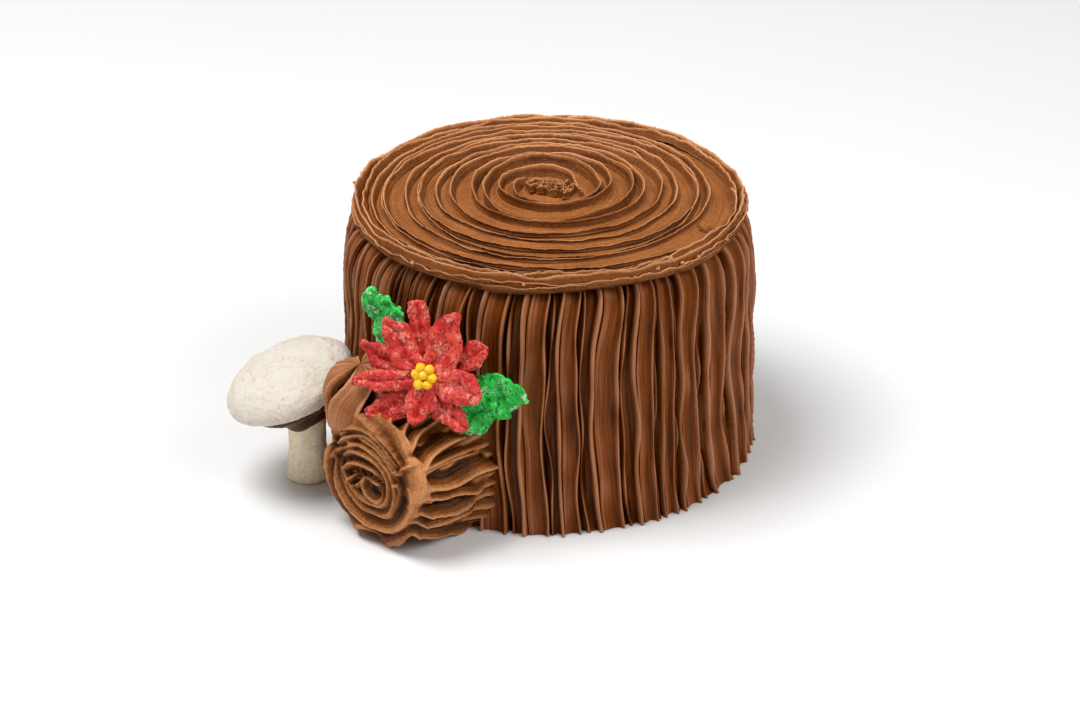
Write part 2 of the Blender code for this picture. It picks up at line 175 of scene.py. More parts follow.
class Frosting:
    """Gathers closed strips into one piece. Each point keeps how far along and across its stroke it lies, in
    millimetres, and its tone of painted light: 0 for painted shade in a valley, 1 for a painted highlight on
    a thin edge."""

    def __init__(self):
        self.points, self.faces, self.strokes, self.count = [], [], [], 0

    def add(self, rows, along, tone):
        """A closed strip through rows of points, each row a ring, with both ends filled."""
        count, width = rows.shape[:2]
        ring = np.arange(count * width).reshape(count, width)
        near, far = ring[:-1], ring[1:]
        quads = np.stack([near, np.roll(near, -1, 1), np.roll(far, -1, 1), far], -1).reshape(-1, 4)
        last = count * width
        heads = np.stack([np.roll(ring[0], -1), ring[0], np.full(width, last)], -1)
        tails = np.stack([ring[-1], np.roll(ring[-1], -1), np.full(width, last + 1)], -1)
        points = np.concatenate([rows.reshape(-1, 3), rows[0].mean(0)[None], rows[-1].mean(0)[None]])
        triangles = np.concatenate([quads[:, :3], quads[:, [0, 2, 3]], heads, tails])
        inside_out = np.linalg.det(points[triangles] - points.mean(0)).sum() < 0
        step = -1 if inside_out else 1
        for faces in (quads, heads, tails):
            self.faces += (faces[:, ::step] + self.count).tolist()
        gaps = np.linalg.norm(np.diff(rows, axis=1, append=rows[:, :1]), axis=2)
        across = (np.cumsum(gaps, axis=1) - gaps).mean(0)
        bare = np.zeros((count, width))
        stroke = np.stack([bare + np.reshape(along, (-1, 1)), bare + across, bare + tone], -1)
        ends = [stroke[0].mean(0), stroke[-1].mean(0)]
        self.strokes.append(np.concatenate([stroke.reshape(-1, 3), ends]))
        self.points.append(points)
        self.count += len(points)

    def piece(self, name, finish, slot, *nodes, smooth=60):
        """Makes and places the object. Its edges stay sharp past an angle."""
        mesh = bpy.data.meshes.new(name)
        mesh.from_pydata((np.concatenate(self.points) * MM).tolist(), [], self.faces)
        stroke = mesh.attributes.new("stroke", "FLOAT_VECTOR", "POINT")
        stroke.data.foreach_set("vector", np.concatenate(self.strokes).astype(np.float32).ravel())
        made = added(name, mesh)
        mesh.materials.append(finish.material)
        pick(made)
        bpy.ops.object.shade_smooth_by_angle(angle=smooth * DEGREE)
        placed(made, slot, *nodes)


def pick(made):
    """Leaves edit mode and selects one object alone."""
    bpy.ops.object.mode_set(mode="OBJECT")
    bpy.ops.object.select_all(action="DESELECT")
    made.select_set(True)
    bpy.context.view_layer.objects.active = made


def placed(made, slot, *nodes):
    """Rides a finished piece on the cake and hides the CAD parts it replaces."""
    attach(made, "root")
    if nodes:
        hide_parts(*nodes)


# Across a fin: half widths from its middle, share of its height, tone, from painted shade at its foot to a
# painted highlight at its tip. The lip has its own tones, painted the same way
FIN = np.array([
    (-1, -0.1, 0.3), (-0.55, 0.2, 0.16), (-0.3, 0.6, 0.12), (-0.2, 0.9, 0.5), (0, 1, 1), (0.2, 0.9, 0.6),
    (0.3, 0.6, 0.2), (0.55, 0.2, 0.16), (1, -0.1, 0.25), (0, -0.4, 0),
])
LIP_TONE = np.array([0.3, 0.2, 0.24, 0.7, 1, 0.75, 0.42, 0.26, 0.12, 0])


def fin_rows(line, width, height, lean):
    """Rows of a fin's section along a line. Its width, height and lean may change from point to point."""
    ahead = unit(np.gradient(line, axis=0))
    side = unit(np.cross(ahead, UP))
    lift = np.cross(side, ahead)
    width, height, lean = (np.broadcast_to(value, len(line))[:, None] for value in (width, height, lean))
    above = FIN[:, 1] * height
    across = FIN[:, 0] * width + lean * np.clip(FIN[:, 1], 0, None) ** 2
    return line[:, None] + across[..., None] * side[:, None] + above[..., None] * lift[:, None]


def ribbed_rows(profile, strands, section, seed, sway, spacing, unevenness=1.0, widths=()):
    """Rows round a column of piped strands. profile holds (height, radius) pairs and sway a shift in degrees
    for each height and strand."""
    line, along = spaced(profile, 0.25)
    kernel = np.hanning(2 * SMOOTHING + 1)
    kernel = kernel / kernel.sum()
    line = np.stack([np.convolve(np.pad(column, SMOOTHING, "edge"), kernel, "valid") for column in line.T], 1)
    line, along = spaced(line, spacing)
    ahead = unit(np.gradient(line, axis=0))
    outward = np.stack([-ahead[:, 1], ahead[:, 0]], 1)  # (up, out) for a line that climbs
    strays, swells, roughens, tone_shifts = GROUPS.T
    degrees, heights, tones, groups = np.array(section).T
    groups = groups.astype(int)
    count = len(line)
    middles = (np.arange(strands) + 0.5) * 360 / strands
    wander, swell, rough = (
        drift(seed + number, along, wavelength, 5 * strands).reshape(count, strands, 5)
        for number, wavelength in enumerate((52, 30, 2.4))
    )
    shift = (wander * (strays * unevenness))[..., groups]
    lift = (swell * swells + rough * roughens)[..., groups] * unevenness
    bulk = 0.4 * unevenness * drift(seed + 3, along, 50, strands)[..., None]
    angle = (middles[:, None] + degrees + shift + sway(line[:, 0], middles)[..., None]) * DEGREE
    for waves, amount, begin in widths:
        angle = angle + amount * DEGREE * np.sin(waves * angle + begin * DEGREE)
    height = (heights + lift + bulk) * np.clip(line[:, 1, None, None] / FLAT_NEAR_AXIS, 0, 1)
    radius = line[:, 1, None, None] + height * outward[:, 1, None, None]
    level = line[:, 0, None, None] + height * outward[:, 0, None, None]
    rows = np.stack([radius * np.sin(angle), -radius * np.cos(angle), level + 0 * angle], -1)
    tone = tones + tone_shifts[groups] * swell[..., groups]
    return rows.reshape(count, -1, 3), along, tone.reshape(count, -1)


def make_side(finish):
    """The strands round the stump. They spread a little where they meet the ground."""
    low, high = box_mm("stump")
    radius, height = (high[0] - low[0]) / 2, high[2]
    profile = np.array(SIDE_PROFILE) * (height, radius)

    def sway(level, middles):
        right = np.clip(np.sin((middles - 5) * DEGREE), 0, 1)
        foot = np.clip(1 - level / FOOT_SWAY_BELOW, 0, 1)[:, None] ** 1.6 * (1.2 + 2.6 * right)
        head = 2.2 * np.clip((level - HEAD_SWAY_FROM) / HEAD_SWAY_OVER, 0, 1)[:, None] ** 1.8
        return foot + head - 0.8 + 0.4 * drift(5, level, 60, len(middles))

    rows, along, tone = ribbed_rows(profile, SIDE_STRANDS, STRAND, 11, sway, SIDE_SPACING, widths=WIDTHS)
    out = unit(rows * (1, 1, 0))
    spread = 0.5 + 0.6 * drift(31, np.arange(rows.shape[1]), 20)
    rows = rows + out * (spread * np.exp(-rows[..., 2] / 1.3))[..., None]
    rows[..., 2] = np.maximum(rows[..., 2], 0)
    side = Frosting()
    side.add(rows, along, tone)
    side.piece("side_strands", finish, "side_frosting", "stump")


def top_level(distance):
    """How high the top's floor lies at a distance from its middle."""
    return TOP_RIM - TOP_SUNK + (TOP_HIGH[2] - TOP_RIM) * (1 - (distance / TOP_RADIUS) ** 2)


def make_top_floor(finish):
    """The floor, a little hollow between the fins. Its last rows turn down over the edge and back in."""
    edge = TOP_RADIUS - np.array([0.4, 0, 0.2, 2])
    distances = np.r_[0.5:TOP_RADIUS - 0.6:0.85, edge, 66]
    angles = np.linspace(0.25, 1.25, 400, endpoint=False) * TURN
    apart, angle = np.meshgrid(distances, angles, indexing="ij")
    x, y = apart * np.cos(angle), apart * np.sin(angle)
    turn = (apart - TOP_START) / TOP_PITCH - angle / TURN
    hollow = np.sin(np.pi * (turn % 1)) ** 0.7
    level = top_level(apart) - 0.9 * hollow
    level += 0.12 * drift(3, angle[0] * 40, 30, len(distances)).T
    # Painted shade: the floor's tone darkens in its hollows
    tone = 0.5 - 0.12 * hollow
    # Each hole sinks the floor and darkens its tone, painted shade in the hole
    for spot_x, spot_y, size in TOP_HOLES:
        near = np.exp(-((x - spot_x) ** 2 + (y - spot_y) ** 2) / size**2)
        level -= HOLE_DEPTH * near
        tone = tone - 1.4 * near
    level[-4:] = np.array([TOP_RIM - 3.8, TOP_RIM - 4.6, TOP_LOW[2] + 0.4, TOP_LOW[2]])[:, None]
    floor = Frosting()
    floor.add(np.stack([x, y, level], -1), distances, np.clip(tone, 0, 1))
    floor.strokes[0][:apart.size, :2] = np.stack([apart * angle, apart], -1).reshape(-1, 2)
    floor.piece("top_floor", finish, "top_frosting", "top_spiral")


def add_fin(fins, turn, gap, seed, height, width=1.25):
    """A fin wound outwards, a gap inside the spiral's own line. One with a gap merges into the rim."""
    angle = turn * TURN
    length = np.arange(1, len(turn) + 1) * 1.3
    wobble = 0.8 * drift(seed, length, 90) + 0.12 * drift(seed + 1, length, 14)
    merged = np.clip((turn - MERGE_FROM) / MERGE_OVER, 0, 1) ** 1.3 * (np.max(gap) > 0)
    distance = TOP_START + TOP_PITCH * turn + (wobble - gap) * (1 - merged) + 5.0 * merged
    distance = np.minimum(distance, TOP_RADIUS - 0.9)
    line = np.stack([distance * np.cos(angle), distance * np.sin(angle), 0 * angle], 1)
    line[:, :2] += FIN_MIDDLE * (1 - distance / TOP_RADIUS)[:, None]
    line[:, 2] = top_level(distance) - 0.2
    line, along = spaced(line, 1.15)
    shape = np.interp(along, [0, 8, along[-1] - 14, along[-1]], [0.2, 1, 1, 0.2])
    rough = 0.1 * drift(seed + 2, along, 2.6) + 0.22 * drift(seed + 3, along, 18)
    around = np.arctan2(line[:, 1], line[:, 0])
    outward = np.clip((np.hypot(line[:, 0], line[:, 1]) - 26) / 14, 0, 1)
    tall = (height * (1 - outward * (0.44 - 0.2 * np.sin(around))) + rough) * shape
    lean = 1.0 + 0.35 * drift(seed + 4, along, 30)
    fins.add(fin_rows(line, width, tall, lean), along, FIN[:, 2])


def make_top_fins(finish):
    """The spiral's fins, and the tangle of loose thread in its middle."""
    fins = Frosting()
    turn = np.arange(0, TOP_TURNS, TURN_STEP)
    add_fin(fins, turn, 0, 41, 3.6)
    lens = np.abs(np.cos(turn * TURN)) ** 1.3
    front = np.interp(turn, [0, 2.2, 2.8, 6], [0.4, 0.5, 6.4, 6.6])
    inner = (turn > 0.36) & (turn < 5.0)
    add_fin(fins, turn[inner], (lens * 4.7 + (1 - lens) * front)[inner], 51, 3.2, 1.0)
    outer = turn[(turn > 3.1) & (turn < 5.0)]
    add_fin(fins, outer, 3.0 + 1.2 * np.cos(outer * TURN * 2), 61, 3.0, 0.9)
    share = np.linspace(0, 1, 160)
    for number, (begin, end, loop, loops) in enumerate(TANGLE):
        around = share * loops * TURN + 2 * number
        size = loop * (1 + 0.35 * drift(81 + number, share * 60, 22))
        line = np.array(begin) * (1 - share)[:, None] + np.array(end) * share[:, None]
        line = line + np.stack([size * np.cos(around), size * np.sin(1.4 * around)], 1)
        line = line + 0.8 * drift(85 + number, share * 60, 9, 2)
        stacked = 0.5 * number * np.sin(around * 0.7 + number) ** 2
        level = top_level(np.hypot(*line.T)) - 0.3 + stacked
        line, along = spaced(np.column_stack([line, level]), 0.5)
        tall = 2.3 + 0.5 * drift(91 + number, along, 5)
        fins.add(fin_rows(line, 0.9, tall, 0.3), along, FIN[:, 2])
    fins.piece("top_fins", finish, "top_frosting")


def make_top_lip(finish):
    """The lip that hangs over the side, in ragged layers, and crumbs on it."""
    lip = Frosting()
    angle = np.linspace(-0.02, 1.015, 700) * TURN
    for number, (apart, base, height, lean) in enumerate(LIP_LAYERS):
        seed = 71 + 5 * number
        apart = TOP_RADIUS + apart + 0.45 * drift(seed, angle * 70, 60)
        apart = apart + 0.15 * drift(seed + 4, angle * 70, 9)
        sag = TOP_RIM + base + 0.45 * drift(seed + 1, angle * 70, 45)
        line, along = spaced(np.stack([apart * np.cos(angle), apart * np.sin(angle), sag], 1), 1.0)
        ends = np.interp(along, [0, 10, along[-1] - 10, along[-1]], [0.3, 1, 1, 0.3])
        ragged = 0.12 * drift(seed + 2, along, 2.6) + 0.4 * drift(seed + 3, along, 14)
        lip.add(fin_rows(line, 1.5, (height + ragged) * ends, lean), along, LIP_TONE)
    draws = np.random.default_rng(17)
    around = np.linspace(0, TURN, 10, endpoint=False)
    rise, around = np.meshgrid(np.linspace(-1.4, 1.4, 7), around, indexing="ij")
    ball = np.stack([np.cos(rise) * np.cos(around), np.cos(rise) * np.sin(around), np.sin(rise)], -1)
    for degrees, apart, size in CRUMBS:
        bearing = degrees * DEGREE
        place = np.array([apart * math.cos(bearing), apart * math.sin(bearing), top_level(apart) + 0.9])
        lumpy = ball * draws.uniform(0.6, 1.15, (7, 10, 1)) * draws.uniform(0.5, 1.0, 3)
        lip.add(place + size * lumpy, np.zeros(7), draws.uniform(0.5, 1.0, (7, 10)))
    lip.piece("top_lip", finish, "top_frosting")


# The branch: a short log that lies against the stump with its sawn end facing out
BRANCH_FACING = 43 * DEGREE
BRANCH_RIGHT = np.array([math.cos(BRANCH_FACING), -math.sin(BRANCH_FACING), 0])
BRANCH_OUT = np.array([-math.sin(BRANCH_FACING), -math.cos(BRANCH_FACING), 0])
BRANCH_DEPTH = 44.0
BRANCH_EDGE = 1.8  # radius of the edge between end and side
# Where round the branch its foot spreads, from straight down, and over how much
BRANCH_FOOT = 43 * DEGREE
FOOT_SPREAD = 24 * DEGREE
# Columns of points round it, spacing of rows on its end and on its side
BRANCH_COLUMNS = 480
END_SPACING = 0.36
BACK_SPACING = 0.45

# Across a fold: shares of its half width and height. A lip curls over, a lobe has its crest at its lower edge
LIP = [
    (-1.5, 0), (-0.9, 0.22), (-0.5, 0.4), (0, 0.62), (0.45, 0.86), (0.7, 1), (0.86, 0.9), (0.97, 0.45),
    (1.06, 0),
]
LOBE = [
    (-1, 0.02), (-0.85, 0.16), (-0.5, 0.42), (-0.22, 0.76), (-0.07, 1), (0.03, 0.97), (0.09, 0.5),
    (0.15, 0),
]
# Lobes that fan down its side: (degrees from straight down, depth behind the end) pairs, half width, height
SIDE_STROKES = [
    ([(53, -1), (47.5, 5), (42, 11), (38, 18), (37, 25), (36, 33)], 7, 5.2),
    ([(66, -1), (63.5, 4), (61.5, 8.5), (60.5, 16), (61.5, 22), (61, 28)], 5.2, 5.4),
    ([(77.5, -1), (76, 3), (72.5, 9), (68.5, 15), (67, 19), (70, 25), (74, 30)], 5.8, 5.8),
    ([(87.5, -1), (89, 3), (85.5, 9.5)], 2.4, 4.8),
    ([(92, -1), (91.5, 4.8), (86.5, 12), (83.5, 20.5), (78, 28), (82, 34)], 5.4, 5.6),
    ([(104, -1), (99, 7), (95, 12.5), (94, 19), (95.5, 26), (94.5, 32), (91, 39)], 8.4, 6.4),
    ([(112, 0), (112.5, 10.5), (112.5, 17), (111, 25.5), (108.5, 33)], 4, 4),
    ([(115, 1), (116, 8), (115.5, 14), (115.5, 21), (114.5, 27.5), (113, 34)], 4.4, 5.8),
    ([(114, -1), (115.5, 5), (122.5, 11), (125, 17), (125.5, 23), (124.5, 29)], 8, 6),
    ([(117, -1), (127, 3.8), (135.5, 6), (143.5, 12), (145.5, 18.5), (148, 30)], 5.6, 6.2),
    ([(124, -1), (142, 3), (152, 8), (158, 14), (162, 26)], 5, 5.6),
    ([(134, -1), (156, 3), (168, 8), (174, 15), (177, 28)], 5.6, 5.2),
    ([(146, -1), (170, 4), (184, 10), (190, 20), (193, 32)], 5.8, 5),
]
# Folds of the rosette on its end: (right, up) pairs from its middle, half width, height
ROSETTE_FOLDS = [
    ([(-12, -5), (-8.5, -2), (-4.5, 1.6)], 1.2, 3.2),
    ([(-9, -5.6), (-6, -4.2), (-4, -1.5), (-3.2, 1.2)], 1.1, 3.2),
    ([(-2.4, 0.3), (-2.8, -3), (0, -5.8), (3.5, -6), (5.8, -3.5), (6.3, 0)], 1.3, 3.4),
    ([(-2, 0.8), (1, 0.4), (4, 0.2), (6, 0.4)], 0.9, 2.8),
    ([(-13.5, 0), (-10, 3), (-5, 4.8), (0, 5.2), (4.5, 4.4), (6.8, 2)], 1.5, 3.4),
    ([(-13.5, 5.5), (-9, 8.4), (-3, 9.4), (3, 8.4), (7.5, 5), (9, 0.5), (8.2, -4), (4.5, -7.2), (-1, -8.2),
      (-6.5, -7.5), (-11, -4.5), (-14.5, 0)], 1.6, 3.4),
    ([(-11, 11.6), (-4, 12.4), (3, 11.2), (8.6, 7.6), (11.4, 2.6), (11.6, -3), (9, -8.6), (3.5, -11.4),
      (-3, -11.6), (-9, -9.4), (-13, -5.4), (-15.5, 0), (-15.5, 4)], 1.6, 3.2),
    ([(12.6, 2.5), (14.6, 3.2), (14.4, -0.5), (12.6, -5.5), (9.6, -10), (4.5, -12.8)], 1.1, 3.5),
    ([(-5, 15.4), (2, 14.6), (8, 11.4), (12, 7.2), (14, 4.4)], 1.4, 3),
    ([(-17, 9.6), (-12, 13.4), (-6, 16.6), (0, 17.4), (6, 15.4), (10.4, 11.8), (14, 8.2)], 1.6, 3.4),
    ([(-21.5, 2), (-17, 6.6), (-11, 10), (-4, 13.6)], 1.1, 4),
    ([(-22.6, 10.4), (-18, 14.4), (-12, 17.8), (-5, 20.2), (1, 20), (7, 17.4), (11.4, 13.6), (15, 10.4)],
     1.6, 3.8),
    ([(-20, 17.6), (-13, 21.4), (-5, 22.8), (3, 21.8), (9, 19.2), (13.2, 15.6), (16.5, 12)], 1.6, 4),
    ([(-18, 22), (-10, 25.2), (0, 25.8), (9, 23.6), (15, 19), (19.5, 14)], 2.6, 3.6),
    ([(20, 3), (20.5, -2), (17, -9), (11, -14.4), (4, -17), (-4, -17), (-11, -14.4), (-16, -9.4), (-18.4, -3),
      (-18.4, 2.5)], 3, 3.6),
    ([(-20, 8.4), (-22.5, 3), (-22.8, -4), (-21, -11.6), (-17, -18), (-11.5, -21.4), (-4, -21), (4, -21.4)],
     1.9, 4.4),
    ([(19, 12.5), (20.5, 8), (20.5, 3), (19.5, -2)], 5.2, 3),
    ([(20, 14), (24, 12.4), (25.6, 8), (25.4, 3.5), (23.4, -0.5), (22.4, -5), (19.4, -9.6), (15, -14.4),
      (10, -18.4)], 1.1, 3.7),
    ([(-15, -22.6), (-8, -23.6), (0, -25.6), (7, -23), (14, -18.6), (19, -14)], 1.9, 4),
    ([(13, 8.6), (16.4, 9), (18, 12), (22, 13.6)], 0.9, 3.9),
]
# Hollows between them: (right, up) pairs, half width
ROSETTE_PITS = [
    ([(-8.4, -3.6), (-5, 0.4)], 1), ([(-0.8, -2.2), (4.8, -2.8)], 1.2), ([(0.2, 2.6), (4.6, 2.9)], 0.9),
    ([(-21.4, 8.4), (-19.6, 7)], 1.4),
]
PIT_DEPTH = 3.0


class Folds:
    """The height of piped folds over places on a surface, the highest fold winning."""

    def __init__(self, places, seed):
        self.places, self.seed = places, seed
        self.height, self.along, self.across, self.share = (np.zeros(len(places)) for _ in range(4))

    def nearest(self, points):
        """The places near a line: which they are, how far along and beside it they lie, and its length."""
        line, along = smooth_line(points, 0.5)
        centre = (line.min(0) + line.max(0)) / 2
        spread = (line.max(0) - line.min(0)) / 2 + 7
        close = np.flatnonzero((np.abs(self.places - centre) < spread).all(1))
        apart = self.places[close, None] - line
        gap = np.hypot(apart[..., 0], apart[..., 1])
        nearest = gap.argmin(1)
        offset = apart[np.arange(len(close)), nearest]
        ahead = unit(np.gradient(line, axis=0))[nearest]
        side = ahead[:, 0] * offset[:, 1] - ahead[:, 1] * offset[:, 0]
        past = (nearest == 0) | (nearest == len(line) - 1)
        beside = np.where(past, np.sign(side) * gap.min(1), side)
        return close, along[nearest] + np.where(past, 0, (ahead * offset).sum(1)), beside, along[-1]

    def pile(self, points, half, height, profile, flip=1, start=0.8):
        """Lays a fold along a line. flip turns its profile over, and start is its height where it begins."""
        close, along, beside, length = self.nearest(points)
        self.seed += 5
        share = along / length
        half = half * (1 + 0.1 * drift(self.seed, along, 12))
        half = half * np.interp(share, [0, 0.12, 0.75, 1], [0.75, 1, 1, 0.35])
        ragged = 0.12 * drift(self.seed + 1, along, 3.5) + 0.25 * drift(self.seed + 2, along, 15)
        tall = (height + ragged) * np.interp(share, [0, 0.15, 0.85, 1], [start, 1, 1, 0.75])
        rise = np.interp(flip * beside / half, *np.transpose(profile))
        lift = tall * rise
        wins = lift > self.height[close]
        chosen = close[wins]
        self.height[chosen] = lift[wins]
        self.along[chosen], self.across[chosen], self.share[chosen] = along[wins], beside[wins], rise[wins]

    def sink(self, points, half, depth):
        """Sinks a soft hollow along a line and darkens its tone there, painted shade."""
        close, _, beside, _ = self.nearest(points)
        hollow = np.exp(-((beside / half) ** 2))
        self.height[close] -= depth * hollow
        self.share[close] *= 1 - hollow


def softened(values):
    """Rounds off a height field a little: rows run round, columns run back."""
    for _ in range(2):
        values = (np.roll(values, 1, 1) + 2 * values + np.roll(values, -1, 1)) / 4
        wider = np.pad(values, ((1, 1), (0, 0)), "edge")
        values = (wider[:-2] + 2 * wider[1:-1] + wider[2:]) / 4
    return values


def branch_swell(angle, depth):
    """How much wider the branch grows towards the stump, most where it spreads at its foot."""
    inward = np.minimum(depth / 36, 1)
    foot = np.exp(-(((angle - BRANCH_FOOT) / FOOT_SPREAD) ** 2))
    return 1 + inward * (0.12 * np.maximum(np.sin(angle), 0) + 0.34 * foot)


def make_branch(finish):
    """The branch's sawn end, its rounded edge and its side, as one surface with folds piled on it."""
    low, high = box_mm("branch_rosette")
    middle = (low + high) / 2 + 2.5 * BRANCH_OUT
    radius = (high[2] - low[2]) / 2 + 1.0
    floor = radius - 5.2

    # The bare surface: reach from the middle of the end out to its edge, then back along the side
    turn_length = BRANCH_EDGE * math.pi / 2
    edge = radius - 4.9
    reach = np.r_[0.3:edge:END_SPACING, edge:edge + BRANCH_DEPTH:BACK_SPACING]
    angle = np.linspace(0, TURN, BRANCH_COLUMNS, endpoint=False)
    angle, reach = np.meshgrid(angle, reach)
    bend = np.clip((reach - edge) / turn_length, 0, 1) * math.pi / 2
    depth = np.maximum(reach - edge - turn_length, 0)
    far = np.minimum(reach, edge) + BRANCH_EDGE * np.sin(bend)
    back = 2.8 + np.minimum(reach / edge, 1) ** 2 + BRANCH_EDGE * (1 - np.cos(bend)) + depth
    far = far * branch_swell(angle, depth + 2) - (edge + BRANCH_EDGE - floor) * np.clip(depth / 2.0, 0, 1)

    # Its folds, on the end flattened out and on the side unrolled
    spread = np.interp(reach, [0, 14, edge + 0.8 * turn_length, edge + 40], [0, 14.5, 25.4, 62])
    end = Folds(np.stack([spread * np.sin(angle), -spread * np.cos(angle)], -1).reshape(-1, 2), 301)
    for points, half, height in ROSETTE_FOLDS:
        way = np.array(points)
        ahead = np.diff(way, axis=0)
        turning = (ahead[:, 0] * way[1:, 1] - ahead[:, 1] * way[1:, 0]).sum()
        end.pile(points, half * 1.1, height, LIP, math.copysign(1, turning))
    for points, half in ROSETTE_PITS:
        end.sink(points, half, PIT_DEPTH)
    end.height *= np.clip((edge + turn_length + 2.6 - reach.ravel()) / 2.0, 0, 1)
    side = Folds(np.stack([angle * radius, back], -1).reshape(-1, 2), 501)
    strokes = [(*stroke, LOBE) for stroke in SIDE_STROKES]
    strokes += [([(d, 1), (d + 3, 12), (d + 5, 26), (d + 6, 43)], 6.4, 5, LOBE) for d in range(207, 356, 15)]
    strokes += [([(d, 12), (d + 3, 30), (d + 1, 46)], 2.8, 1.7, LIP) for d in range(14, 200, 9)]
    for points, half, height, shape in strokes:
        side.pile(np.array(points) * (radius * DEGREE, 1), half, height, shape, start=0.7)
    side.height *= np.clip((reach.ravel() - edge - 0.7 * turn_length) / 2.0, 0, 1)

    on_end = end.height > side.height
    height = softened(np.where(on_end, end.height, side.height).reshape(angle.shape))
    along = np.where(on_end, end.along, side.along)
    across = np.where(on_end, end.across, side.across)
    ring = np.sin(angle)[..., None] * BRANCH_RIGHT - np.cos(angle)[..., None] * UP
    outward = np.cos(bend)[..., None] * BRANCH_OUT + np.sin(bend)[..., None] * ring
    rows = middle + far[..., None] * ring - back[..., None] * BRANCH_OUT + height[..., None] * outward
    rows[..., 2] = np.maximum(rows[..., 2], 0.03)
    branch = Frosting()
    # Tone: painted shade low on each fold and in its pits, a painted highlight on its crest
    tone = np.where(on_end, np.clip(end.share, 0, 1) ** 1.4, np.clip(side.share, 0, 1) ** 2.2)
    tone = softened(tone.reshape(angle.shape))
    branch.add(rows, reach[:, 0], tone)
    branch.strokes[0][:along.size, :2] = np.stack([along, across], 1)
    branch.piece("branch_swirls", finish, "branch_frosting", "branch", "branch_rosette", smooth=75)


# Curl: a low dome of broad ribs that twist as they climb, laid out like the side's strands
CURL_STRANDS = 5
CURL_SPACING = 0.5
CURL_TWIST = 40
# Tones across a rib run from painted shade in its valleys to a painted highlight on its edges
CURL_SECTION = [
    (-35, -4.6, 0, 0), (-31, -3.4, 0.1, 1), (-29, -1.4, 0.5, 1), (-26, -0.1, 1, 1), (-22.5, -0.1, 0.85, 1),
    (-19, -0.5, 0.5, 2), (-11, -0.5, 0.62, 2), (0, -0.3, 0.6, 2), (10, -0.5, 0.52, 2), (17, -0.7, 0.45, 2),
    (21, -0.3, 0.7, 3), (24.5, 0, 1, 3), (27, -0.6, 0.7, 3), (29.5, -2.6, 0.2, 3), (33, -4.4, 0, 0),
]
CURL_PROFILE = [
    (0, 0.62), (0.15, 0.86), (0.4, 0.98), (0.66, 0.99), (0.84, 0.9), (0.94, 0.72), (0.985, 0.46), (0.99, 0.1),
]


def make_curl(finish):
    low, high = box_mm("curl")
    middle = (low + high) / 2
    radius, height = (high[0] - low[0]) / 2, high[2] - low[2]
    profile = np.array(CURL_PROFILE) * (height, radius)

    def sway(level, middles):
        return CURL_TWIST * (level[:, None] / height) ** 2 + 2.5 * drift(6, level, 20, len(middles))

    rows, along, tone = ribbed_rows(profile, CURL_STRANDS, CURL_SECTION, 401, sway, CURL_SPACING, 1.2)
    curl = Frosting()
    curl.add(rows + np.array([middle[0], middle[1], low[2]]), along, tone)
    curl.piece("bark_curl", finish, "branch_frosting", "curl")


def rotation(degrees, axis):
    return Matrix.Rotation(degrees * DEGREE, 4, axis)


def node_points(node, turned=Matrix()):
    """A CAD node's points in millimetres, in a frame turned about the origin."""
    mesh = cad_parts[node].data
    points = np.empty(3 * len(mesh.vertices))
    mesh.vertices.foreach_get("co", points)
    return points.reshape(-1, 3) / MM @ np.array(turned.to_3x3())


def span(node, turned=Matrix()):
    """A CAD node in a turned frame, in millimetres: half its width, its height, and where the middle of its
    underside lies."""
    points = node_points(node, turned)
    low, high = points.min(0), points.max(0)
    foot = turned.to_3x3() @ Vector(((low[0] + high[0]) / 2, (low[1] + high[1]) / 2, low[2]))
    return (high[0] - low[0]) / 2, high[2] - low[2], foot


def choose(made, test):
    """In edit mode, selects the points whose place and number pass a test."""
    shape = bmesh.from_edit_mesh(made.data)
    for number, point in enumerate(shape.verts):
        point.select = bool(test(point.co, number))
    shape.select_flush_mode()
    bmesh.update_edit_mesh(made.data)


def edit_new(name):
    """Names the primitive that was just added and opens it for editing."""
    made = bpy.context.object
    made.name = made.data.name = name
    bpy.ops.object.mode_set(mode="EDIT")
    return made


def modify(made, kind, **settings):
    """Adds a modifier and applies it."""
    pick(made)
    modifier = made.modifiers.new(kind.title(), kind)
    for key, value in settings.items():
        setattr(modifier, key, value)
    bpy.ops.object.modifier_apply(modifier=modifier.name)


def complete(made, place, finish, lumps, slot, node):
    """Puts a shape in its place with its finish, pushes lumps of (size, depth) in and out of its surface and
    hides the CAD part it replaces."""
    pick(made)
    made.matrix_world = place
    bpy.ops.object.transform_apply()
    made.data.materials.append(finish.material)
    bpy.ops.object.shade_smooth_by_angle(angle=70 * DEGREE)
    for size, depth in lumps:
        clouds = bpy.data.textures.new(f"{made.name}_{size}", "CLOUDS")
        clouds.noise_scale = size * MM
        clouds.noise_depth = 1
        modify(made, "DISPLACE", texture=clouds, texture_coords="LOCAL", strength=depth * MM, mid_level=0.5)
    placed(made, slot, node)


def extrude_up(name, full, profile, segments):
    """A round form drawn up from a disc: (share of its full radius, height) pairs."""
    profile = [(share * full, level) for share, level in profile]
    radius, level = profile[0]
    bpy.ops.mesh.primitive_circle_add(vertices=segments, radius=radius * MM, fill_type="NGON")
    made = edit_new(name)
    for wide, high in profile[1:]:
        bpy.ops.mesh.extrude_region_move(TRANSFORM_OT_translate={"value": (0, 0, (high - level) * MM)})
        share = max(wide, 0.05) / radius
        bpy.ops.transform.resize(value=(share, share, 1), center_override=(0, 0, high * MM))
        radius, level = max(wide, 0.05), high
    bpy.ops.mesh.select_all(action="SELECT")
    bpy.ops.mesh.normals_make_consistent(inside=False)
    return made


CAP_TILT = rotation(9, "Z") @ rotation(-21, "Y")


